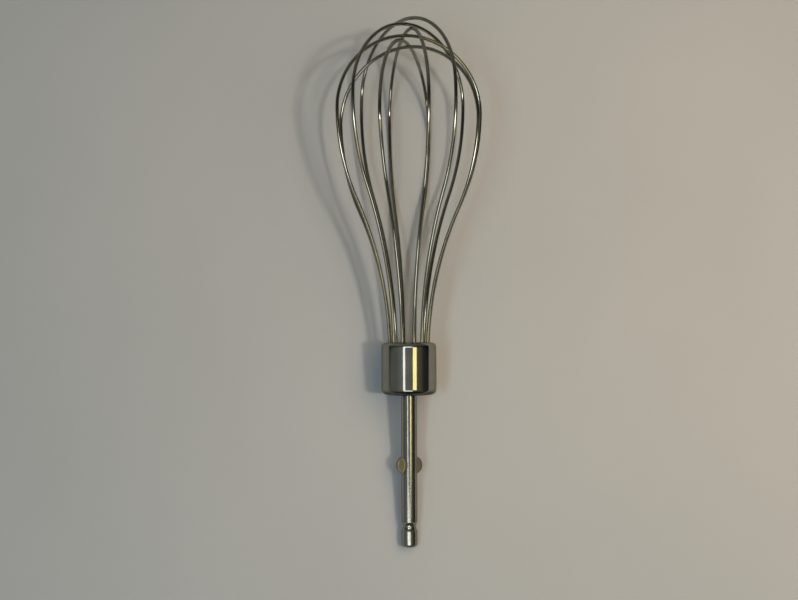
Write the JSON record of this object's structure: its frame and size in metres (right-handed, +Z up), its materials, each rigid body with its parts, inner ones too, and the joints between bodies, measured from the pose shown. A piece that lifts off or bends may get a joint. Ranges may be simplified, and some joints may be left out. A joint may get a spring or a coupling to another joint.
{
  "type": "mixer whisk attachment",
  "caption": "Balloon whisk attachment for a kitchen mixer: bent wire loops in a polished steel collar on a round drive shaft with two pressed ears and a detent groove.",
  "frame": {"origin": "centre of the bounding box's base, on the surface that the whisk lies on", "axes": "+Y along the length from the shaft's tip to the balloon's top, +X to the right seen from above with the balloon at the far end, +Z up; the whisk's own axis rises along +Y because it lies on two wires and the shaft's tip"},
  "size_m": [0.0547, 0.1942, 0.0593],
  "materials": {
    "shaft_steel": "bright turned bar, finely brushed along its length",
    "collar_steel": "mirror-polished stainless steel with faint handling scratches",
    "wire_steel": "bright drawn stainless wire, fine lines along its length",
    "plate_steel": "stamped steel, dull",
    "holder_nylon": "moulded dark nylon, fine grain"
  },
  "bodies": {
    "root": {"drive_shaft": "shaft_steel", "collar_shell": "collar_steel", "wire_holder": "holder_nylon", "leg_plate": "plate_steel", "head_washer": "plate_steel", "wire_loop_1": "wire_steel", "wire_loop_2": "wire_steel", "wire_loop_3": "wire_steel", "wire_loop_4": "wire_steel", "wire_loop_5": "wire_steel", "wire_loop_6": "wire_steel"}
  },
  "joints": []
}
